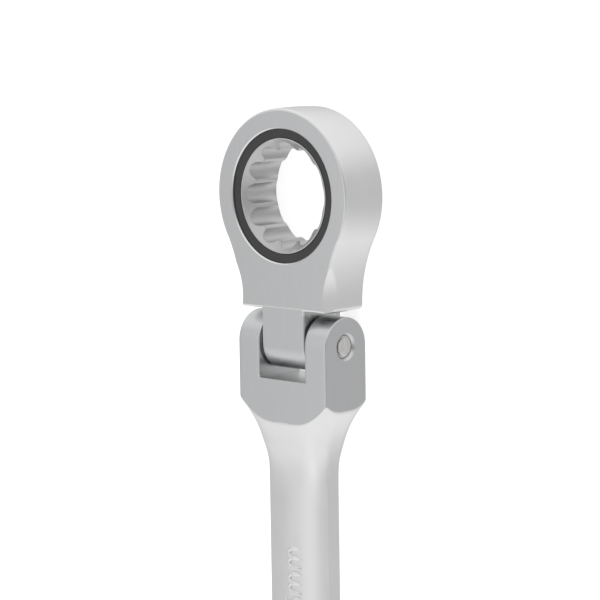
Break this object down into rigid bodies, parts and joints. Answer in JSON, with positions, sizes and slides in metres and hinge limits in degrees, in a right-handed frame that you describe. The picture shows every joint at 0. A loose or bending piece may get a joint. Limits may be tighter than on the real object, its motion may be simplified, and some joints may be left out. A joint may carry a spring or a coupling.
{
  "type": "flex-head ratchet wrench",
  "caption": "Combination wrench with a ratcheting twelve-point ring on a head that flexes on a cross pin, a flat crowned shank and an angled open jaw.",
  "frame": {"origin": "middle of the footprint, on the plane that the clevis's back face lies on", "axes": "+X runs along the shank towards the ratchet ring, +Y across the wrench, +Z out of the front face"},
  "size_m": [0.218, 0.034, 0.0108],
  "materials": {
    "satin_chrome": "satin",
    "pin_steel": "turned",
    "spring_steel": "plain",
    "gear_steel": "satin nickel",
    "black_steel": "black oxide"
  },
  "bodies": {
    "handle": {"handle": "satin_chrome", "flex_pin": "pin_steel", "left_spring_washer": "spring_steel", "right_spring_washer": "spring_steel"},
    "head": {"head_housing": "satin_chrome", "retaining_ring": "spring_steel", "cover_ring": "black_steel", "pawl_spring": "spring_steel"},
    "gear": {"drive_gear": "gear_steel"},
    "pawl": {"pawl": "gear_steel"}
  },
  "joints": [
    {"name": "head_flex", "type": "hinge", "parent": "handle", "child": "head", "pos_m": [0.0661, 0, 0.0054], "axis": [0, -1, 0], "range_deg": [-90, 90]},
    {"name": "drive_spin", "type": "hinge", "parent": "head", "child": "gear", "pos_m": [0.0931, 0, 0.0054], "axis": [0, 0, 1], "continuous": true},
    {"name": "pawl_slide", "type": "slide", "parent": "head", "child": "pawl", "axis": [-1, 0, 0], "range_m": [0, 0.0007], "stiffness_N_per_m": 800, "springref_m": -0.0015, "deforming": ["pawl_spring"]}
  ]
}
